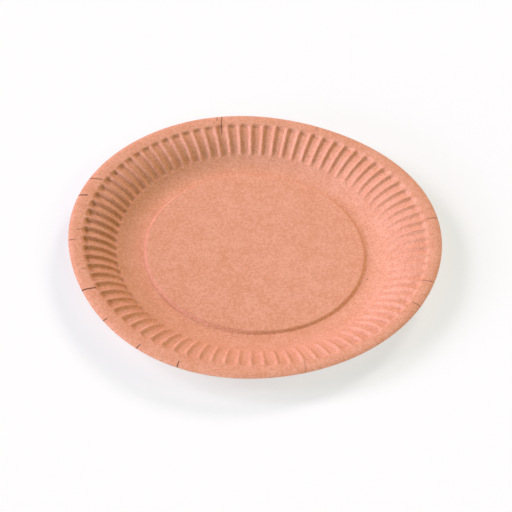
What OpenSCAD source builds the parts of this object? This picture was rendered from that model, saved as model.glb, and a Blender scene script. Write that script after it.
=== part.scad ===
// Round paper plate, pressed in one stroke from a flat disc of brown card.
// A raised centre panel stands inside a flat resting floor, a rounded heel leads up
// to a fluted wall, and a shoulder turns the wall over into a plain, sloping rim.
// The rim has dried out and split in places. The plate stands on z = 0, about the z axis.

/* [Plate] */
// Diameter over the rim
plate_d = 230; // [200:1:270]
// Height from the table to the top of the rim
plate_h = 15.4; // [14:0.1:22]
// Thickness of the card
card_t = 0.45; // [0.35:0.05:0.7]
// Radius of the heel, where the floor turns up into the wall
heel_radius = 24.5; // [16:0.5:28]
// Steepest angle of the wall above the table
wall_angle = 40; // [34:0.5:45]
// Radius of the shoulder, where the wall turns over into the rim
shoulder_radius = 37; // [20:0.5:42]
// Radius of the roll that turns the rim down again at its edge
rim_radius = 8; // [5:0.5:16]
// Angle at which the edge of the rim falls away outwards
rim_fall = 22; // [6:1:35]
// Width of the straight outermost part of the rim
rim_straight = 0.5; // [0.3:0.1:2]

/* [Centre panel] */
// Width of the flat ring that the plate rests on, between the panel's step and the heel
rest_ring_w = 2.4; // [2:0.1:6]
// Height of the panel above the floor
panel_lift = 1.2; // [0.6:0.1:2]
// Width of the sloping step round the panel
step_w = 2.4; // [2:0.1:4]

/* [Flutes] */
// Number of flutes round the wall
flute_count = 84; // [72:1:84]
// Depth from a ridge to the bottom of a groove
flute_depth = 1.5; // [1:0.1:2.2]
// How narrow the grooves are beside the ridges: 1 makes an even wave
groove_sharpness = 2; // [1:0.25:3]
// Distance from the edge of the rim to the outer ends of the flutes
plain_rim_w = 8.4; // [6:0.1:11]
// Distance from the foot of the heel to the inner ends of the flutes
flute_start = 13.1; // [10:0.1:15]
// Length over which a groove sinks to its full depth at its inner end
inner_fade = 3.2; // [2:0.2:5]
// Length over which a groove rises to the rim at its outer end
outer_fade = 2.2; // [1.6:0.2:4]

/* [Hidden] */
card_colour = [0.89, 0.62, 0.51];

// Splits in the dried rim: bearing in degrees, length as a share of the plain rim's width,
// width of the gap at the edge
SPLITS = [
    [13.5, 0.86, 0.35],
    [104.2, 0.95, 0.40],
    [158.4, 0.95, 0.45],
    [166.9, 0.75, 1.00],
    [187.1, 0.65, 0.50],
    [209.2, 0.95, 1.10],
    [222.8, 0.40, 0.60],
    [237.2, 0.45, 0.50],
    [250.3, 0.55, 0.60],
    [334.0, 0.85, 0.35],
    [345.2, 0.92, 0.35]
];
// How far a split's cut runs past the edge and past both faces of the card
split_margin = 1;

// The card is squeezed a little thinner where the die draws it into flutes
press_thinning = 0.04;
// How far the ends of the fluted wall run into the plain card
wall_lap = 0.3;
// Points across each flute, and across each flute's width on the plain card at its ends
FLUTE_POINTS = 6;
END_POINTS = 2;
// Bearing of the first ridge, in degrees
FIRST_RIDGE = 1.2;
// Largest turn between two points of the section, in degrees
SECTION_TURN = 4;
// Step used to measure which way the pressed sheet faces
FACING_STEP = 0.01;
REVOLVE_FN = 180;

// Neither bend may use up more than its share of the height of the wall
HEEL_SHARE = 0.4;
SHOULDER_SHARE = 0.59;
full_bend = (plate_h - card_t) / (1 - cos(wall_angle));
heel_bend = min(heel_radius, HEEL_SHARE * full_bend);
shoulder_bend = min(shoulder_radius, SHOULDER_SHARE * full_bend);

// Stations of the section, on the middle line of the card, from the edge inwards
edge_r = plate_d / 2;
floor_z = card_t / 2;
top_z = plate_h - card_t / 2;
fall_r = edge_r - rim_straight;
top_r = fall_r - rim_radius * sin(rim_fall);
shoulder_r = top_r - shoulder_bend * sin(wall_angle);
shoulder_z = top_z - shoulder_bend * (1 - cos(wall_angle));
heel_z = floor_z + heel_bend * (1 - cos(wall_angle));
heel_r = shoulder_r - (shoulder_z - heel_z) / tan(wall_angle);
floor_r = heel_r - heel_bend * sin(wall_angle);
step_outer_r = floor_r - rest_ring_w;
step_inner_r = step_outer_r - step_w;
flute_outer_r = edge_r - plain_rim_w;
flute_inner_r = floor_r + flute_start;
flute_run = flute_outer_r - flute_inner_r;
wall_t = card_t - press_thinning;

// Height of the middle line at radius r
function section_z(r) =
    r < step_outer_r ? floor_z + panel_lift * step_down((r - step_inner_r) / step_w)
    : r < floor_r ? floor_z
    : r < heel_r ? floor_z + heel_bend - sqrt(heel_bend ^ 2 - (r - floor_r) ^ 2)
    : r < shoulder_r ? heel_z + (r - heel_r) * tan(wall_angle)
    : r < top_r ? top_z - shoulder_bend + sqrt(shoulder_bend ^ 2 - (r - top_r) ^ 2)
    : r < fall_r ? top_z - rim_radius + sqrt(rim_radius ^ 2 - (r - top_r) ^ 2)
    : top_z - rim_radius * (1 - cos(rim_fall)) - (r - fall_r) * tan(rim_fall);

// From 1 to 0 along a half wave, level at both ends
function step_down(s) = s <= 0 ? 1 : s >= 1 ? 0 : (1 + cos(180 * s)) / 2;

// Slope of the section at radius r, in degrees
function section_slope(r) =
    r < step_outer_r ? -atan(panel_lift * PI * step_turn((r - step_inner_r) / step_w) / (2 * step_w))
    : r <= floor_r ? 0
    : r < heel_r ? asin((r - floor_r) / heel_bend)
    : r < shoulder_r ? wall_angle
    : r < top_r ? -asin((r - top_r) / shoulder_bend)
    : r < fall_r ? -asin((r - top_r) / rim_radius)
    : -rim_fall;
function step_turn(s) = s <= 0 || s >= 1 ? 0 : sin(180 * s);

// A point of the section, offset by a distance along its upward normal
function section_point(r, offset) =
    [r - offset * sin(section_slope(r)), section_z(r) + offset * cos(section_slope(r))];

// Radii of a round stretch from r0 to r1, closely enough spaced for its radius of bend
function arc_stations(r0, r1, bend) =
    let (steps = max(1, ceil((r1 - r0) / (bend * sin(SECTION_TURN)))))
    [for (i = [0:steps - 1]) r0 + (r1 - r0) * i / steps];

// Full depth along the middle of the flutes, with a rounded fade at each end
function fade(s) = s <= 0 ? 0 : s >= 1 ? 1 : sqrt(1 - (1 - s) ^ 2);
function groove_depth(r) =
    flute_depth * fade((r - flute_inner_r) / inner_fade) * fade((flute_outer_r - r) / outer_fade);

// The pressed sheet at radius r and bearing a: the grooves sink below the plain section
function sheet(r, a) =
    let (
        wave = (1 - cos(a * flute_count)) / 2,
        sink = groove_depth(r) * wave ^ groove_sharpness,
        p = section_point(r, -sink)
    )
    [p[0] * cos(a), p[0] * sin(a), p[1]];

function unit(v) = v / norm(v);
function sheet_normal(r, a) =
    let (
        along = sheet(r + FACING_STEP, a) - sheet(r - FACING_STEP, a),
        turn = FACING_STEP * 180 / (PI * r),
        across = sheet(r, a + turn) - sheet(r, a - turn)
    )
    unit(cross(along, across));

// The solid of revolution of the card between two radii
module plain_card(stations) {
    upper = [for (r = stations) section_point(r, card_t / 2)];
    lower = [for (i = [len(stations) - 1:-1:0]) section_point(stations[i], -card_t / 2)];
    rotate_extrude($fn = REVOLVE_FN)
        polygon(concat(upper, lower));
}

module well() {
    step_steps = 6;
    stations = concat(
        [0],
        [for (i = [0:step_steps]) step_inner_r + step_w * i / step_steps],
        arc_stations(floor_r, flute_inner_r, heel_bend),
        [flute_inner_r]
    );
    plain_card(stations);
}

module rim() {
    stations = concat(
        flute_outer_r < top_r ? arc_stations(flute_outer_r, top_r, shoulder_bend) : [],
        arc_stations(max(flute_outer_r, top_r), fall_r, rim_radius),
        [fall_r, edge_r]
    );
    difference() {
        plain_card(stations);
        for (s = SPLITS)
            rotate(s[0])
                split_cut(s[1] * plain_rim_w, s[2]);
    }
}

// A split opens like a wedge towards the edge
module split_cut(length, width) {
    mouth_r = edge_r + split_margin;
    mouth_w = width * (length + split_margin) / length;
    translate([0, 0, -split_margin])
        linear_extrude(plate_h + 2 * split_margin)
            polygon([
                [edge_r - length, 0],
                [mouth_r, -mouth_w / 2],
                [mouth_r, mouth_w / 2]
            ]);
}

// Rings of points lie closely round the flutes, and coarsely on the plain card at their ends
module fluted_wall() {
    rings = [
        flute_inner_r + inner_fade * 0.5,
        flute_inner_r + flute_run * 0.44,
        flute_outer_r - outer_fade * 1.5,
        flute_outer_r - outer_fade * 0.35
    ];
    inner_end = wall_ring(flute_inner_r - wall_lap, END_POINTS);
    outer_end = wall_ring(flute_outer_r + wall_lap, END_POINTS);
    upper = concat(
        inner_end[0],
        [for (r = rings) for (p = wall_ring(r, FLUTE_POINTS)[0]) p],
        outer_end[0]
    );
    lower = concat(
        inner_end[1],
        [for (r = rings) for (p = wall_ring(r, FLUTE_POINTS)[1]) p],
        outer_end[1]
    );
    ends = flute_count * END_POINTS;
    columns = flute_count * FLUTE_POINTS;
    last = ends + len(rings) * columns;
    skin = concat(
        [for (k = [0:ends - 1]) for (f = end_fan(k, 0, ends, ends, columns, false)) f],
        [
            for (i = [0:len(rings) - 2])
                for (j = [0:columns - 1])
                    for (f = cell(j, ends + i * columns, columns))
                        f
        ],
        [for (k = [0:ends - 1]) for (f = end_fan(k, last, last - columns, ends, columns, true)) f]
    );
    under = len(upper);
    polyhedron(
        points = concat(upper, lower),
        faces = concat(
            skin,
            [for (f = skin) [f[2] + under, f[1] + under, f[0] + under]],
            [for (k = [0:ends - 1]) for (f = wall_end(k, 0, ends, under)) f],
            [for (k = [0:ends - 1]) for (f = wall_end(k, last, ends, under)) flipped(f)]
        )
    );
}

// Upper and lower points of the card in a ring of radius r
function wall_ring(r, per_flute) =
    let (columns = flute_count * per_flute)
    [
        for (side = [1, -1])
            [
                for (j = [0:columns - 1])
                    let (a = 360 * (j + 0.5) / columns)
                    sheet(r, a) + side * wall_t / 2 * sheet_normal(r, a)
            ]
    ];

function flipped(f) = [f[2], f[1], f[0]];

// Two triangles between a ring and the next, with the diagonal turned at mid flute
function cell(j, ring, columns) =
    let (
        k = (j + 1) % columns,
        p = ring + j,
        q = ring + k,
        s = p + columns,
        t = q + columns
    )
    j % FLUTE_POINTS < FLUTE_POINTS / 2
    ? [[p, q, s], [q, t, s]]
    : [[p, q, t], [p, t, s]];

// The fan of triangles from one point of an end ring to its share of the nearest fine ring
function end_fan(k, end_ring, fine_ring, ends, columns, outer) =
    let (
        share = columns / ends,
        p = end_ring + k,
        q = end_ring + (k + 1) % ends,
        first = share * k,
        fan = [
            for (i = [0:share - 1])
                [p, fine_ring + (first + i + 1) % columns, fine_ring + first + i]
        ],
        gap = [p, q, fine_ring + (first + share) % columns]
    )
    [for (f = concat(fan, [gap])) outer ? flipped(f) : f];

// Two triangles that close the card between its upper and lower skin along an end ring
function wall_end(k, end_ring, ends, under) =
    let (
        p = end_ring + k,
        q = end_ring + (k + 1) % ends
    )
    [[p, p + under, q], [q, p + under, q + under]];

module plate() {
    color(card_colour)
        union() {
            well();
            rotate(FIRST_RIDGE)
                fluted_wall();
            rim();
        }
}

plate();
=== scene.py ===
# %% [markdown]
# A pressed paper plate
#
# The object is a single sheet: a disc of brown kraft card, pressed once between two
# warm dies. The dies leave a raised centre panel, a flat ring for the plate to stand on,
# a rounded heel, a wall gathered into radial flutes, and a plain rim that slopes outwards.
# The rim of this plate has dried out, so it is split and creased in many places.
#
# The solid that is already in the frame has the same form, built from few facets. Here it
# gives way to a finer sheet with the same section, so that the light can run smoothly over
# the flutes and the splits can have real lips.

import math
from collections import namedtuple

import bpy
import numpy as np
from mathutils import Matrix, Vector


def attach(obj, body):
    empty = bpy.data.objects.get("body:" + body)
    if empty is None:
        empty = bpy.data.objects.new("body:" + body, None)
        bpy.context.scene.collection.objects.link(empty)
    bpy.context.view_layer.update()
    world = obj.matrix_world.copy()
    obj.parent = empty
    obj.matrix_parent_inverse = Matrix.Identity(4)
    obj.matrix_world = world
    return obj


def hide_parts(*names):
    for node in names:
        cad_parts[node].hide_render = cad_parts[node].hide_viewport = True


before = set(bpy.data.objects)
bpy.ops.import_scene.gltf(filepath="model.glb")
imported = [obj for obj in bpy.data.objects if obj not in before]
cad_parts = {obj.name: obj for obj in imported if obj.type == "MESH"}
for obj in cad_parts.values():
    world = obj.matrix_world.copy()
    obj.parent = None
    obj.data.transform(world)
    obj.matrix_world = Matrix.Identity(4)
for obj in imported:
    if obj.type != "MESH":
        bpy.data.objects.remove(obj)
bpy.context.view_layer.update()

# %% [markdown]
# The section
#
# Every pressed plate is first a line turned about an axis. The line is easiest to reason
# about in millimetres, as the radius from the axis and the height above the table, measured
# at the middle of the card. It could be drawn as a curve and spun with a modifier, but as a
# plain function of the radius it can be asked for the height at any point. Two bends, a
# tight one at the heel and a wide one at the shoulder, are joined by a short straight
# stretch of wall, and a third, smaller bend rolls the rim over.

# %% The section as a function
MM = 0.001
RIM_R = 115.0
PLATE_H = 15.4
CARD = 0.45
HEEL_BEND, SHOULDER_BEND, RIM_ROLL = 24.5, 37.0, 8.0
WALL_ANGLE = math.radians(40)
RIM_FALL = math.radians(22)

low, high = CARD / 2, PLATE_H - CARD / 2
fall_r = RIM_R - 0.5
top_r = fall_r - RIM_ROLL * math.sin(RIM_FALL)
shoulder_r = top_r - SHOULDER_BEND * math.sin(WALL_ANGLE)
heel_rise = HEEL_BEND * (1 - math.cos(WALL_ANGLE))
shoulder_rise = SHOULDER_BEND * (1 - math.cos(WALL_ANGLE))
heel_r = shoulder_r - (high - low - heel_rise - shoulder_rise) / math.tan(WALL_ANGLE)
floor_r = heel_r - HEEL_BEND * math.sin(WALL_ANGLE)


def bend(radius, offset):
    """How far a bend of a radius has turned away from level at an offset from its start."""
    return radius - np.sqrt(np.maximum(radius**2 - offset**2, 1))


def section(r):
    """Height of the middle of the card at radius r, without the centre panel."""
    heel = low + bend(HEEL_BEND, r - floor_r)
    wall = low + heel_rise + (r - heel_r) * math.tan(WALL_ANGLE)
    shoulder = high - bend(SHOULDER_BEND, r - top_r)
    roll = high - bend(RIM_ROLL, r - top_r)
    edge = high - bend(RIM_ROLL, fall_r - top_r) - (r - fall_r) * math.tan(RIM_FALL)
    places = [r < floor_r, r < heel_r, r < shoulder_r, r < top_r, r < fall_r]
    return np.select(places, [low + 0 * r, heel, wall, shoulder, roll], edge)


print("the wall is straight from radius", round(heel_r, 1), "to", round(shoulder_r, 1), "mm")

# %% [markdown]
# The centre panel
#
# The middle of the plate stands a little above the ring that it rests on, which stiffens
# the floor. The die cuts the step almost straight, so its edges show as crisp lines of light
# and shade. On this plate the die sat about a millimetre off the middle, towards the far
# right, and bit deeper on the left. Both are part of the function, because a perfectly
# centred ring is one of the first things that would give a copy away.

# %% The panel as a function
PANEL_LIFT, PANEL_TILT = 1.75, 0.35
STEP_W = 2.0
STEP_ROUNDING = 0.055
REST_RING_W = 2.45
step_out = floor_r - REST_RING_W
step_in = step_out - STEP_W


def panel_shift(a):
    """How much further out the panel's edge lies at bearing a, in millimetres."""
    return 1.0 + 1.1 * np.cos(a) + 1.1 * np.sin(a)


def panel(r, a):
    """Height that the centre panel adds, in millimetres."""
    along = np.clip((r - panel_shift(a) - step_in) / STEP_W, 0, 1)
    lift = PANEL_LIFT - PANEL_TILT * np.cos(a) * min(r / step_in, 1)
    return lift * (1 - along + STEP_ROUNDING * np.sin(2 * np.pi * along))


print("the panel steps down between radius", round(step_in, 1), "and", round(step_out, 1), "mm")

# %% [markdown]
# The flutes
#
# A flat disc has too much card at its edge to be raised into a dish, so the die gathers the
# surplus into flutes. Each groove sinks below the plain section, and the card between two
# grooves swells a little above it. What makes a pressed groove look pressed is its outer
# end: a small rounded end wall, like the bowl of a spoon, where the groove meets the plain
# rim. The inner end fades out more slowly into the heel.
#
# First comes where the flutes lie. The card has sprung back unevenly, so they aren't spread
# evenly round the wall, and an array modifier would put most of them in the wrong place. A
# slow wave, called drift here, moves them to where they are seen.

# %% Where the flutes lie
FLUTES = 84
GUESSES = 12


def drift(a):
    """How far the flutes near bearing a are turned from an even spread, in degrees."""
    stray = 2.82 - 0.19 * np.cos(a) - 1.45 * np.sin(a) - 0.04 * np.cos(2 * a)
    stray = stray - 0.35 * np.sin(2 * a) + 0.48 * np.cos(3 * a) - 0.31 * np.sin(3 * a)
    return stray


def flute_turns(a):
    """Flutes passed up to bearing a: a whole number in the bottom of each groove."""
    return (np.degrees(a) - drift(a)) * FLUTES / 360


def flute_bearing(turns):
    """The bearing at which so many flutes have been passed, found by a few rounds of guesses."""
    a = turns * 2 * np.pi / FLUTES
    for _ in range(GUESSES):
        a = np.radians(turns * 360 / FLUTES + drift(a))
    return a


bearings = np.radians(np.linspace(0, 360, 20000))
stray = drift(bearings) - drift(bearings).mean()
print("grooves round the wall:", round(float(np.ptp(flute_turns(bearings)))))
print("they stray from", round(float(stray.min()), 1), "to", round(float(stray.max()), 1), "degrees")

# %% [markdown]
# Then comes the form of one flute. One wave in the bearing gives all of them, and a power of
# it flattens the bottoms of the grooves and leaves narrow ridges between them. Subtracting a
# term that grows towards the ridges closes each groove in a round arch. The depth of the
# pressing and the softness of the ends change slowly round the plate, as they do on the
# real one: deep and crisp at the left, shallow at the near side, soft at the right.

# %% The form of a flute
GROOVE_DEPTH = 1.70
RIDGE_SHARE = 0.10
NARROWING = 4.0
groove_out, groove_in = RIM_R - 8.05, RIM_R - 30.0
OUTER_END, OUTER_ARCH = 1.8, 1.2
INNER_END, INNER_ARCH = 4.5, 0.8
BOWL_DEPTH, BOWL_AT, BOWL_W = 0.12, 2.2, 1.3


def pressing(a):
    """How deep the flutes at bearing a were pressed, beside the mean."""
    press = 1.03 - 0.02 * np.cos(a) + 0.04 * np.sin(a) + 0.26 * np.cos(2 * a)
    return press + 0.02 * np.sin(2 * a) - 0.10 * np.cos(3 * a) - 0.14 * np.sin(3 * a)


def groove(r, a):
    """How far the card lies below the plain section, in millimetres; it is negative on a ridge."""
    wave = (1 + np.cos(2 * np.pi * flute_turns(a))) / 2
    end = groove_out + 0.9 * np.cos(a) + 0.35 * np.cos(2 * a) + 0.25 * np.sin(2 * a)
    bank = OUTER_END * (1.3 + 0.7 * np.cos(a) - 0.2 * np.sin(a))
    outer = np.clip((end - OUTER_ARCH * (1 - wave) ** 2 - r) / bank, 0, 1)
    fade = INNER_END + 2.0 * np.cos(a)
    inner = np.clip((r - groove_in - INNER_ARCH * (1 - wave) ** 2) / fade, 0, 1)
    bowl = 1 + BOWL_DEPTH * np.exp(-(((end - r - BOWL_AT) / BOWL_W) ** 2))
    depth = GROOVE_DEPTH * pressing(a) * bowl * (1 - (1 - wave) ** NARROWING - RIDGE_SHARE)
    return depth * np.sin(np.pi / 2 * outer) * np.sin(np.pi / 2 * inner)


print("the grooves are pressed from", round(float(GROOVE_DEPTH * pressing(bearings).min()), 1),
      "to", round(float(GROOVE_DEPTH * pressing(bearings).max()), 1), "mm deep")

# %% [markdown]
# Out of round
#
# Card springs back unevenly after pressing, so the rim of a real plate is never a true
# circle. A few lobes of two, three and five waves, growing from nothing at the heel to
# their full size at the rim, are enough. The finished sheet is shrunk by less than a
# hundredth and moved by a millimetre, so that it lies inside the box of the solid.

# %% Lobes of the rim
SHRINK = 0.9922
OFFSET = (-0.83, 0.95)
LOBES_FROM = 0.72


def lobes(r, a):
    """How far the sheet reaches beyond its true radius, in millimetres."""
    growth = np.clip((r / RIM_R - LOBES_FROM) / (1 - LOBES_FROM), 0, 1.1) ** 2
    three = 1.08 * np.cos(3 * a) + 1.10 * np.sin(3 * a)
    two = 0.77 * np.cos(2 * a) + 1.14 * np.sin(2 * a)
    five = 0.24 * np.sin(5 * a) - 0.33 * np.cos(5 * a)
    return growth * (three + two + five)


reach = lobes(RIM_R, bearings)
print("the rim strays from", round(float(reach.min()), 1), "to", round(float(reach.max()), 1), "mm")

# %% [markdown]
# Splits and creases
#
# Dry card tears when the rim is bent. Each mark runs inwards from the edge of the rim, or
# starts a little way in. It has a bearing at its outer end and one at its inner end, both in
# degrees, the distances from the edge between which it runs and the gap it opens at the
# edge, in millimetres, and how dark it looks, from 0 to 1. That darkness is painted shade,
# standing in for the shade down in a split or a crease. A mark with no gap is only a crease
# or a spot of painted shade. A table of them is easier to read and to mend than twenty-seven
# cuts.

# %% The marks in the rim
Mark = namedtuple("Mark", "bearing_out bearing_in start stop gap shade")
MARKS = [
    # The first mark is only a spot of painted shade, where a groove's flank is dark.
    Mark(4.7, 6.0, 11.4, 12.7, 0.0, 0.60),
    Mark(8.2, 9.4, 3.8, 4.9, 0.0, 0.75),
    Mark(13.6, 13.3, 0.0, 7.2, 0.06, 0.75),
    Mark(24.0, 23.9, 0.0, 1.4, 0.0, 0.55),
    Mark(22.6, 22.3, 3.0, 5.6, 0.0, 0.40),
    Mark(31.9, 31.8, 4.2, 6.0, 0.0, 0.30),
    Mark(44.6, 44.6, 4.2, 6.6, 0.0, 0.35),
    Mark(70.9, 70.7, 0.0, 6.2, 0.0, 0.55),
    Mark(82.4, 81.2, 0.4, 7.0, 0.0, 0.35),
    Mark(83.8, 83.6, 2.6, 7.0, 0.0, 0.25),
    Mark(103.9, 105.4, 0.0, 16.0, 0.05, 0.85),
    Mark(105.6, 106.2, 0.0, 5.4, 0.0, 0.60),
    Mark(158.8, 157.2, 0.0, 8.6, 0.10, 0.95),
    Mark(167.1, 166.2, 0.0, 6.2, 0.14, 1.00),
    Mark(174.1, 174.0, 4.0, 6.4, 0.0, 0.30),
    Mark(182.6, 182.2, 4.4, 9.4, 0.0, 0.80),
    Mark(187.1, 187.5, 0.0, 5.4, 0.08, 0.80),
    Mark(200.4, 200.8, 4.4, 8.6, 0.0, 0.70),
    Mark(209.0, 209.8, 0.0, 9.6, 0.14, 1.00),
    Mark(216.2, 216.7, 0.6, 3.0, 0.0, 0.40),
    Mark(222.7, 223.0, 0.0, 3.3, 0.10, 0.95),
    Mark(237.0, 237.3, 0.0, 3.9, 0.10, 0.95),
    Mark(250.5, 250.1, 0.0, 4.6, 0.08, 0.95),
    Mark(287.9, 289.1, 0.0, 10.5, 0.0, 0.45),
    Mark(292.6, 292.7, 0.0, 2.6, 0.0, 0.40),
    Mark(334.0, 334.2, 0.0, 7.2, 0.06, 0.70),
    Mark(345.4, 344.7, 0.4, 7.8, 0.06, 0.70),
]
print(len(MARKS), "marks,", sum(mark.gap > 0 for mark in MARKS), "of them open")

# %% [markdown]
# The sheet of points
#
# The sheet is a fan of rings round the axis, and the rings are cut into columns. Columns
# that are spread evenly would jump over a ridge here and there, so each flute gets ten, the
# closest of them at its ridge. They would jump over a split too, so each mark brings five
# columns of its own. Near the axis the card is flat, and the rings there get by with far
# fewer points. The rings stand closest where the card bends most.

# %% Columns and rings
IN_FLUTE = (0.0, 0.13, 0.25, 0.35, 0.43, 0.50, 0.57, 0.65, 0.75, 0.87)
COLUMNS = FLUTES * len(IN_FLUTE)
SIDE_STEPS = (-0.72, -0.30, 0.0, 0.30, 0.72)
CLEARANCE = 0.3


def mark_bearing(mark):
    return math.radians((mark.bearing_out + mark.bearing_in) / 2)


def fine_columns():
    """Bearings of the columns over the flutes and the rim, with the mark and side step of each.
    A column that belongs to no mark has the mark -1."""
    own = [(mark_bearing(m) + s / RIM_R, k, s) for k, m in enumerate(MARKS) for s in SIDE_STEPS]
    taken = np.array([c[0] for c in own])
    columns = list(own)
    spread = flute_bearing(np.add.outer(np.arange(FLUTES), IN_FLUTE).ravel())
    for a in spread % (2 * np.pi):
        apart = np.abs((taken - a + np.pi) % (2 * np.pi) - np.pi)
        if apart.min() * RIM_R > CLEARANCE:
            columns.append((a, -1, 0.0))
    return sorted(columns)


columns = fine_columns()
panel_rings = [15, 30, 42, 52, 60, 63.5, 65.5, 66.5]
panel_rings += list(np.linspace(66.75, 68.95, 12)) + [69.5, 70.3, 71.3, 72.6]
heel_rings = [74.2, 75.6, 77.2, 78.8, 80.6, 82.2, 83.4]
flute_rings = [84.1, 84.5, 84.9, 85.4, 86.0, 86.7, 87.6, 88.8, 90.4, 92.4, 94.6, 96.6, 98.4]
flute_rings += [99.8, 101.0, 102.0, 102.8, 103.5, 104.1, 104.6]
flute_rings += [105.1, 105.6, 106.1, 106.6, 107.1, 107.6]
rim_rings = [108.2, 109.0, 109.8, 110.6, 111.5, 112.2, 112.9, 113.5, 114.0, 114.5, 114.85, 115.0]
print(len(columns), "fine columns;", len(flute_rings + rim_rings), "fine rings")

# %% [markdown]
# A mark changes the sheet in three ways. The columns near it lean over, so that one of them
# runs along its crooked path. Its lips part towards the edge of the rim. And one lip is
# lifted a little above the other, as torn card does. All three die away within a few
# millimetres, so the sheet stays smooth elsewhere.

# %% What a mark does to the sheet
HEAD_FADE, TAIL_FADE = 0.6, 1.2
LEAN_LENGTH = 4.0
LEAN_WIDTH = 0.021
PUSH_WIDTH = 0.8
NEARBY = 0.09


def window(mark, r):
    """How strongly a mark shows at radius r, from 0 to 1."""
    into = RIM_R - r
    head = 1.0 if mark.start == 0 else min(max((into - mark.start) / HEAD_FADE, 0), 1)
    return head * min(max((mark.stop - into) / TAIL_FADE, 0), 1)


def lean(mark, r):
    """Turn of a mark away from its mean bearing at radius r, in radians."""
    t = min(max((RIM_R - r - mark.start) / (mark.stop - mark.start), 0), 1)
    past = max(RIM_R - r - mark.stop, 0)
    turn = math.radians((mark.bearing_in - mark.bearing_out) * (t - 0.5))
    return turn * math.exp(-((past / LEAN_LENGTH) ** 2))


def opening(mark, r):
    """Half the gap of a mark at radius r, in millimetres."""
    t = 1 - (RIM_R - r) / mark.stop
    return mark.gap / 2 * max(t, 0) ** 0.7


def disturbance(a, middle_of, r, leans):
    """The turn, in radians, and the push sideways, in millimetres, that the marks give a column
    at bearing a. The mark that it is the middle of doesn't push it."""
    turn = push = 0.0
    for k, mark in enumerate(MARKS):
        apart = (a - mark_bearing(mark) + math.pi) % (2 * math.pi) - math.pi
        if abs(apart) > NEARBY:
            continue
        turn += leans[k] * math.exp(-((apart / LEAN_WIDTH) ** 2))
        if mark.gap > 0 and k != middle_of:
            share = math.exp(-abs(apart) * RIM_R / PUSH_WIDTH)
            push += math.copysign(opening(mark, r) * share, apart)
    return turn, push


widest = max(MARKS, key=lambda mark: mark.gap)
print("the widest split is", widest.gap, "mm open, at bearing", round(math.degrees(mark_bearing(widest))))

# %% [markdown]
# The floor and the heel of the plate are smooth, so their rings are evenly spread points.
# The rings near the edge of the centre panel are moved with it, which keeps its step crisp.

# %% Place the plain rings
FOLLOW_AT, FOLLOW_BY = (30.0, 60.0, 69.0, 72.8), (0, 1, 1, 0)
points, painted_shades = [], []


def sheet_point(r, a, lift=0.0):
    """A point of the middle of the card, in metres."""
    out = r + lobes(r, a)
    level = section(np.asarray(float(r))) + panel(r, a)
    z = level - groove(r, a) * math.cos(WALL_ANGLE / 2) + lift
    x = SHRINK * out * math.cos(a) + OFFSET[0]
    y = SHRINK * out * math.sin(a) + OFFSET[1]
    return (x * MM, y * MM, SHRINK * float(z) * MM)


# Each point is given the strength of the shade painted on it, 0 where there is none.
def add_point(r, a, lift=0.0, painted_shade=0.0):
    points.append(sheet_point(r, a, lift))
    painted_shades.append(painted_shade)
    return len(points) - 1


def plain_ring(r, count):
    """A ring of evenly spread points, as a list of (bearing, left vertex, right vertex). The
    rings near the panel's edge follow it."""
    follow = np.interp(r, FOLLOW_AT, FOLLOW_BY)
    ring = []
    for a in np.arange(count) * 2 * np.pi / count:
        v = add_point(r + follow * panel_shift(a), a)
        ring.append((a, v, v))
    return ring


hub = add_point(0.0, 0.0)
rings = [plain_ring(r, COLUMNS // 4) for r in panel_rings]
rings += [plain_ring(r, COLUMNS // 2) for r in heel_rings]
print(len(points), "points in", len(rings), "plain rings")

# %% [markdown]
# Over the flutes and the rim every ring has all the columns. Where a split is open, its
# middle column has two points instead of one, and the sheet comes apart there. A Boolean
# could cut the splits, but it would leave slivers along their lips. The skin close to a
# mark carries painted shade, which stands in for the shade inside a split or a crease.

# %% Place the fine rings
LIP_LIFT, LIP_WIDTH = 0.5, 0.5
CREASE_SINK = 0.12
LEAST_GAP = 0.02
# How far beside a mark, and how strongly, its shade is painted on the skin.
PAINTED_SHADE_SIDE = 0.5
WIDE_PAINTED_SHADE, THIN_PAINTED_SHADE = 0.90, 0.55


def fine_ring(r):
    """A ring with every column, in which an open split has two vertices."""
    leans = [lean(mark, r) for mark in MARKS]
    ring = []
    for a, k, side in columns:
        turn, push = disturbance(a, k if side == 0 else -1, r, leans)
        if k < 0:
            v = add_point(r, a + turn + push / r)
            ring.append((a, v, v))
            continue
        # The columns of a mark carry painted shade: the middle one fully, the two next to it in part.
        mark = MARKS[k]
        shade = mark.shade * window(mark, r)
        half = opening(mark, r)
        if side != 0:
            wide = WIDE_PAINTED_SHADE if mark.shade == 1 else THIN_PAINTED_SHADE
            painted_shade = shade * (wide if abs(side) < PAINTED_SHADE_SIDE else 0.0)
            lift = math.copysign(LIP_LIFT * half, side) * math.exp(-abs(side) / LIP_WIDTH)
            v = add_point(r, a + turn + push / r, lift, painted_shade)
            ring.append((a, v, v))
        elif mark.gap > 0 and half > LEAST_GAP:
            left = add_point(r, a + turn + (push - half) / r, -LIP_LIFT * half, shade)
            right = add_point(r, a + turn + (push + half) / r, LIP_LIFT * half, shade)
            ring.append((a, left, right))
        else:
            v = add_point(r, a + turn + push / r, -CREASE_SINK * shade, shade)
            ring.append((a, v, v))
    return ring


rings += [fine_ring(r) for r in flute_rings + rim_rings]
print(len(points), "points in", len(rings), "rings in all")

# %% [markdown]
# Rings of equal length join up in quads. Where the count changes, a zip of triangles takes
# a step on whichever ring is behind, which works for any two rings. A modifier that thins
# out the mesh could do the same, but it would move the points that were placed with care.

# %% Join the rings


def join_equal(inner, outer):
    """Quads between two rings with the same number of points."""
    faces = []
    n = len(inner)
    for i in range(n):
        j = (i + 1) % n
        faces.append((inner[i][2], outer[i][2], outer[j][1], inner[j][1]))
    return faces


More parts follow.
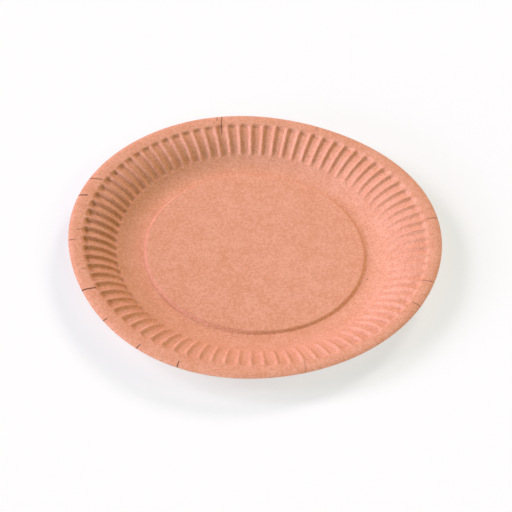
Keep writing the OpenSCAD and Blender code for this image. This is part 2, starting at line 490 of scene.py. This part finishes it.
def join_zip(inner, outer):
    """Triangles between two rings with any numbers of points."""
    faces = []
    i = j = 0
    while i < len(inner) or j < len(outer):
        a, b = inner[i % len(inner)], outer[j % len(outer)]
        a_next, b_next = inner[(i + 1) % len(inner)], outer[(j + 1) % len(outer)]
        step_a = a_next[0] + 2 * math.pi * ((i + 1) // len(inner))
        step_b = b_next[0] + 2 * math.pi * ((j + 1) // len(outer))
        if j >= len(outer) or (i < len(inner) and step_a <= step_b):
            faces.append((a[2], b[1], a_next[1]))
            i += 1
        else:
            faces.append((a[1], b[2], b_next[1]))
            j += 1
    return faces


first = [entry[1] for entry in rings[0]]
faces = [(hub, v, v_next) for v, v_next in zip(first, first[1:] + first[:1])]
for inner, outer in zip(rings, rings[1:]):
    faces += join_equal(inner, outer) if len(inner) == len(outer) else join_zip(inner, outer)
print(len(faces), "faces in the sheet")

# %% [markdown]
# Card has thickness
#
# The sheet is moved up and down by half the card's thickness along its own normals, which
# keeps the thickness even round every bend. Wherever the sheet has a free edge, a narrow
# wall closes the two skins: round the rim, and along both lips of each open split. A
# Solidify modifier does nearly the same, but here the walls are needed by name: they keep
# sharp corners, and those inside a split are torn, and marked for the material.

# %% Give the sheet its thickness


def face_normals(pts, polys):
    """The mean normal of the faces round each point, each face counted by its area."""
    total = np.zeros_like(pts)
    for size in (3, 4):
        some = np.array([p for p in polys if len(p) == size])
        a, b, c, d = (pts[some[:, corner % size]] for corner in range(4))
        n = np.cross(b - a, c - a) if size == 3 else np.cross(c - a, d - b)
        for corner in range(size):
            np.add.at(total, some[:, corner], n)
    return total / np.linalg.norm(total, axis=1, keepdims=True)


pts = np.array(points)
normals = face_normals(pts, faces)
count = len(pts)
skin = SHRINK * CARD / 2 * MM * normals
upper, lower = pts + skin, pts - skin

used = {}
for face in faces:
    for p, q in zip(face, face[1:] + face[:1]):
        used[(p, q)] = used.get((p, q), 0) + 1
free = [(p, q) for (p, q) in used if (q, p) not in used]
edge_ring = {v for entry in rings[-1] for v in entry[1:]}
walls = [(q, p, p + count, q + count) for p, q in free]
torn = [not (p in edge_ring and q in edge_ring) for p, q in free]
all_faces = faces + [tuple(v + count for v in reversed(f)) for f in faces] + walls
print(len(free), "free edges,", sum(torn), "of them torn")

# %% [markdown]
# Pressed card bends smoothly, but a cut is sharp. So all faces are shaded smooth, and only
# the edges along the cuts stay sharp. Sharpness by angle would also catch the tight bends
# at the ends of the grooves.

# %% Make the mesh with sharp edges where it is cut
mesh = bpy.data.meshes.new("pressed_card")
mesh.from_pydata(np.vstack([upper, lower]).tolist(), [], all_faces)
mesh.polygons.foreach_set("use_smooth", [True] * len(mesh.polygons))
mesh.update(calc_edges=True)

sharp = set()
for p, q in free:
    for side in (0, count):
        sharp.add((min(p, q) + side, max(p, q) + side))
pairs = np.zeros(2 * len(mesh.edges), dtype=np.int32)
mesh.edges.foreach_get("vertices", pairs)
pairs = np.sort(pairs.reshape(-1, 2), axis=1)
mesh.edges.foreach_set("use_edge_sharp", [(int(a), int(b)) in sharp for a, b in pairs])
print(len(mesh.polygons), "faces,", len(sharp), "sharp edges")

# %% [markdown]
# The material needs to know where shade is painted along a mark and where the card is cut
# through.
# Both are kept with the mesh as plain attributes, one value for each corner of each face, so
# that a wall can differ from the skin beside it.

# %% Mark the painted shade and the cut edges
painted_shade = np.array(painted_shades + painted_shades)
loops = np.zeros(len(mesh.loops), dtype=np.int32)
mesh.loops.foreach_get("vertex_index", loops)
shade = painted_shade[loops]
first_wall = 2 * len(faces)
cut = np.zeros(len(loops))
# A torn wall inside a split is painted fully in shade.
for i, is_torn in enumerate(torn):
    polygon = mesh.polygons[first_wall + i]
    for l in polygon.loop_indices:
        shade[l] = 1.0 if is_torn else 0.0
        cut[l] = 1.0
for name, values in (("painted_shade", shade), ("cut_edge", cut)):
    attribute = mesh.attributes.new(name, "FLOAT", "CORNER")
    attribute.data.foreach_set("value", values.astype(np.float32))
print(int((shade > 0).sum()), "corners are stained,", int(cut.sum()), "lie on a cut edge")

# %% [markdown]
# The finished sheet takes the place of the solid plate, moves with it, and is made of card.

# %% The piece in the frame
plate = bpy.data.objects.new("pressed_card", mesh)
bpy.context.scene.collection.objects.link(plate)
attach(plate, "root")
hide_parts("plate")
mesh.calc_loop_triangles()
print(len(mesh.loop_triangles), "triangles in the plate")

# %% [markdown]
# Sums with shader sockets
#
# A material is a set of sums on values that change over the surface. Written as nodes they
# are hard to read, so a small class wraps a socket and lets Python's own signs add the Math
# nodes. Everything else comes from one method that makes any node.

# %% A socket that Python can do sums with


class Wire:
    """An output socket of a node tree."""

    def __init__(self, tree, socket=None):
        self.tree = tree
        self.socket = socket

    def node(self, kind, settings=None, inputs=None, out=0):
        """A new node: its settings come first, then the values or wires of its inputs."""
        made = self.tree.nodes.new(kind)
        for name, value in (settings or {}).items():
            setattr(made, name, value)
        for name, value in (inputs or {}).items():
            if isinstance(value, Wire):
                self.tree.links.new(value.socket, made.inputs[name])
            else:
                made.inputs[name].default_value = value
        return Wire(self.tree, made.outputs[out])

    def math(self, operation, first, second):
        return self.node("ShaderNodeMath", {"operation": operation}, {0: first, 1: second})

    def __add__(self, other):
        return self.math("ADD", self, other)

    def __sub__(self, other):
        return self.math("SUBTRACT", self, other)

    def __mul__(self, other):
        return self.math("MULTIPLY", self, other)

    def __truediv__(self, other):
        return self.math("DIVIDE", self, other)

    def __rsub__(self, other):
        return self.math("SUBTRACT", other, self)

    __radd__ = __add__
    __rmul__ = __mul__

    def larger(self, other):
        return self.math("MAXIMUM", self, other)

    def between(self, start, end):
        """0 below start and 1 above end, with a soft change between them."""
        settings = {"interpolation_type": "SMOOTHSTEP"}
        inputs = {"Value": self, "From Min": start, "From Max": end}
        return self.node("ShaderNodeMapRange", settings, inputs)

    def mixed(self, first, second):
        """The first colour where this wire is 0, and the second where it is 1."""
        return self.node("ShaderNodeMix", {"data_type": "RGBA"}, {0: self, 6: first, 7: second}, out=2)


def new_material(name):
    """An empty material, and a wire to start its nodes from."""
    material = bpy.data.materials.new(name)
    material.use_nodes = True
    material.node_tree.nodes.clear()
    return material, Wire(material.node_tree)


print("sums on sockets are ready")

# %% [markdown]
# Kraft card
#
# Unbleached pulp is never one colour. Seen close, it is a felt of pale and dark fibres,
# about half a millimetre wide and some millimetres long, lying every way. Further off it is
# cloudy. A photograph of card could be laid over the plate, but it would have seams and one
# fixed sharpness. The finish is built as the pulp is instead: clouds, a mottle, a fine
# grain, and three lays of fibres, each a noise that is stretched along one direction.

# %% Lays of fibre
card, start = new_material("kraft_card")
place = start.node("ShaderNodeTexCoord", out="Object")


def noise(scale, detail=3.0, roughness=0.55, where=None):
    """A soft noise; scale is in waves per metre."""
    inputs = {"Vector": where or place, "Scale": scale, "Detail": detail, "Roughness": roughness}
    return start.node("ShaderNodeTexNoise", {}, inputs)


def fibre_lay(turn, length, width):
    """Noise drawn out into fibres of a length and width in metres, turned about the axis."""
    turning = {"Vector": place, "Rotation": (0, 0, math.radians(turn))}
    turned = start.node("ShaderNodeMapping", {"vector_type": "TEXTURE"}, turning)
    stretch = {0: turned, 1: (1 / length, 1 / width, 1 / length)}
    drawn = start.node("ShaderNodeVectorMath", {"operation": "MULTIPLY"}, stretch)
    return noise(1.0, 2.0, 0.5, drawn)


clouds = noise(75, 3.0)
mottle = noise(700, 4.0, 0.65)
grain = noise(1500, 2.0, 0.6)
lays = [fibre_lay(20, 0.006, 0.0006), fibre_lay(75, 0.005, 0.0005), fibre_lay(132, 0.006, 0.0006)]
fibres = (lays[0] + lays[1] + lays[2]) / 3
tone = clouds * 0.12 + mottle * 0.40 + grain * 0.24 + fibres * 0.24
print("the mottle and", len(lays), "lays of fibre are wired")

# %% [markdown]
# The tone of the pulp mixes a pale and a deep brown. The change between them is steep, which
# gives the mottle its contrast. Over that lie a few flecks of bark, found in the middles of
# a cell pattern, and one dark speck, which is nothing but a distance from a point. The cut
# edges are a little darker than the skin. Darkest of all is the shade painted along the
# marks, which stands in for the shade inside the splits and creases.

# %% Colours of the card
PALE, DEEP = (0.778, 0.366, 0.245, 1), (0.672, 0.280, 0.161, 1)
# The darkest colour serves the bark flecks and the speck, and also the painted shade of the marks.
CUT, FLECK_AND_PAINTED_SHADE = (0.560, 0.250, 0.140, 1), (0.085, 0.026, 0.010, 1)
SPECK_AT = (0.07034, -0.01538, 0.0006)

body_colour = tone.between(0.455, 0.545).mixed(DEEP, PALE)
spots = start.node("ShaderNodeTexVoronoi", {}, {"Vector": place, "Scale": 75.0}, out="Distance")
bark = (1 - spots.between(0.010, 0.035)) * 0.55
from_speck = {0: place, 1: SPECK_AT}
speck_off = start.node("ShaderNodeVectorMath", {"operation": "DISTANCE"}, from_speck, out="Value")
speck = 1 - speck_off.between(0.00025, 0.00060)
flecked = bark.larger(speck).mixed(body_colour, FLECK_AND_PAINTED_SHADE)
cut_edge = start.node("ShaderNodeAttribute", {"attribute_name": "cut_edge"}, out="Fac")
# The strength of the painted shade comes from the mesh, and goes on over everything else.
shade_painted = start.node("ShaderNodeAttribute", {"attribute_name": "painted_shade"}, out="Fac")
edged = (cut_edge * 0.7).mixed(flecked, CUT)
colour = (shade_painted.between(0.0, 1.0) * 0.95).mixed(edged, FLECK_AND_PAINTED_SHADE)
print("the colours run from", PALE[:3], "to", DEEP[:3])

# %% [markdown]
# Kraft card is matt, with a very slight gloss where the dies have ironed it. The same noises
# that colour it also raise it, by no more than a fibre's thickness, so that every pale
# fibre is also a raised one.

# %% Surface of the card
roughness = 0.66 + (mottle - 0.5) * 0.25
relief = mottle * 0.5 + fibres * 0.35 + grain * 0.15
raised = {"Strength": 0.40, "Distance": 0.00025, "Height": relief}
bump = start.node("ShaderNodeBump", {}, raised, out="Normal")
finish = {"Base Color": colour, "Roughness": roughness, "Normal": bump, "Specular IOR Level": 0.22}
shader = start.node("ShaderNodeBsdfPrincipled", {}, finish)
output = card.node_tree.nodes.new("ShaderNodeOutputMaterial")
card.node_tree.links.new(shader.socket, output.inputs["Surface"])
mesh.materials.append(card)
print("the card is finished with", len(card.node_tree.nodes), "nodes")

# %% [markdown]
# The table
#
# The plate lies on a plain white table. Lamps alone would have to be far too bright to make
# it white, and would bleach the card. So the part of it that the camera sees glows a
# little, and the rest is plain paint, which keeps the shadow of the plate.

# %% The white table
TABLE_HALF = 3.0
TABLE_Z = -0.00003
GLOW = 0.6


def looked_at(tree):
    """1 for what the camera sees, straight or in a gloss or through glass, and 0 for light that
    falls on other things."""
    rays = ("Is Camera Ray", "Is Glossy Ray", "Is Transmission Ray")
    camera_ray, glossy_ray, glass_ray = (tree.node("ShaderNodeLightPath", out=ray) for ray in rays)
    return camera_ray + glossy_ray + glass_ray


table_mesh = bpy.data.meshes.new("table_top")
square = [(-1, -1), (1, -1), (1, 1), (-1, 1)]
corners = [(x * TABLE_HALF, y * TABLE_HALF, TABLE_Z) for x, y in square]
table_mesh.from_pydata(corners, [], [(0, 1, 2, 3)])
table = bpy.data.objects.new("table_top", table_mesh)
bpy.context.scene.collection.objects.link(table)
white, tree = new_material("white_table")
matt_white = {"Base Color": (0.93, 0.93, 0.93, 1), "Roughness": 0.9}
paint = tree.node("ShaderNodeBsdfPrincipled", {}, matt_white)
bright = tree.node("ShaderNodeEmission", {}, {"Color": (1, 1, 1, 1), "Strength": 1.0})
top = tree.node("ShaderNodeMixShader", {}, {0: looked_at(tree) * GLOW, 1: paint, 2: bright})
output = white.node_tree.nodes.new("ShaderNodeOutputMaterial")
white.node_tree.links.new(top.socket, output.inputs["Surface"])
table_mesh.materials.append(white)
print("the table is", 2 * TABLE_HALF, "m square")

# %% [markdown]
# The lamps
#
# The shading of the flutes tells where the light comes from, because their flanks face every
# way in turn. Two strong lamps stand about 35 degrees up, one at the left and one beyond the
# far side, and six weaker ones fill in round them, most of them low and at the left. The
# flanks in shade are browner than those in the light. Lamps that are a touch cool on the
# left and a touch warm or green on the right give that, and together they are close to
# white on the table. Broad lamps keep the edges of the shadows soft.

# %% Lamps


def lamp(name, bearing, height, colour, softness):
    """A broad lamp far away. Bearing and height are degrees, softness its apparent width, and
    the colour holds its full strength: 1 lights a face square to the lamp as written."""
    data = bpy.data.lights.new(name, "SUN")
    strength = max(colour)
    data.energy = math.pi * strength
    data.color = [c / strength for c in colour]
    data.angle = math.radians(softness)
    b, h = math.radians(bearing), math.radians(height)
    towards = Vector((math.cos(h) * math.cos(b), math.cos(h) * math.sin(b), math.sin(h)))
    made = bpy.data.objects.new(name, data)
    made.rotation_euler = towards.to_track_quat("Z", "Y").to_euler()
    bpy.context.scene.collection.objects.link(made)


lamp("lamp_left", 165, 35, (0.43, 0.39, 0.45), 18)
lamp("lamp_left_low", 180, 22, (0.27, 0.26, 0.34), 18)
lamp("lamp_near_left", 195, 35, (0.26, 0.25, 0.29), 18)
lamp("lamp_grazing", 210, 12, (0.29, 0.33, 0.41), 18)
lamp("lamp_near_low", 240, 12, (0.14, 0.17, 0.23), 18)
lamp("lamp_near_right", 300, 35, (0.08, 0.13, 0.07), 18)
lamp("lamp_right", 0, 35, (0.14, 0.14, 0.05), 18)
lamp("lamp_far", 60, 35, (0.56, 0.48, 0.44), 18)
print(len(bpy.data.lights), "lamps")

# %% [markdown]
# The sky gives almost no light of its own, so that the flutes keep their shade, but it is
# white wherever it is looked at.

# %% Sky
world = bpy.data.worlds.new("studio")
world.use_nodes = True
world.node_tree.nodes.clear()
sky = Wire(world.node_tree)
soft = sky.node("ShaderNodeBackground", {}, {"Color": (1, 1, 1, 1), "Strength": 0.02})
plain = sky.node("ShaderNodeBackground", {}, {"Color": (1, 1, 1, 1), "Strength": 1.0})
both = sky.node("ShaderNodeMixShader", {}, {0: looked_at(sky), 1: soft, 2: plain})
output = world.node_tree.nodes.new("ShaderNodeOutputWorld")
world.node_tree.links.new(both.socket, output.inputs["Surface"])
bpy.context.scene.world = world
print("the sky is set")

# %% [markdown]
# The camera
#
# The camera looks down at a little over 45 degrees from the near side, through a long lens,
# and is held slightly askew. Its place was found from the outline of the rim. The lens
# is given as the length that spans the photograph's own width in picture points, which is
# how a camera that was fitted to a picture comes out.

# %% The camera
UNIT = SHRINK * RIM_R * MM
ELEVATION, ROLL = math.radians(45.60), math.radians(3.92)
AWAY = 9.03
SENSOR, LENS_POINTS, FRAME_POINTS = 36, 1661, 512
aim = Vector((0.0157 * UNIT + OFFSET[0] * MM, -0.0253 * UNIT + OFFSET[1] * MM, 0.45 * MM))
away = Vector((0, -math.cos(ELEVATION), math.sin(ELEVATION)))
right, up = Vector((1, 0, 0)), Vector((0, math.sin(ELEVATION), math.cos(ELEVATION)))
turned_right = math.cos(ROLL) * right + math.sin(ROLL) * up
turned_up = math.cos(ROLL) * up - math.sin(ROLL) * right
camera_data = bpy.data.cameras.new("camera")
camera_data.sensor_width = SENSOR
camera_data.lens = SENSOR * LENS_POINTS / FRAME_POINTS
camera = bpy.data.objects.new("camera", camera_data)
axes = Matrix((turned_right, turned_up, away)).transposed().to_4x4()
camera.matrix_world = Matrix.Translation(aim + AWAY * UNIT * away) @ axes
bpy.context.scene.collection.objects.link(camera)
bpy.context.scene.camera = camera
bpy.context.scene.view_settings.view_transform = "Standard"
print("a lens of", round(camera_data.lens, 1), "mm stands", round(AWAY * UNIT, 2), "m away")
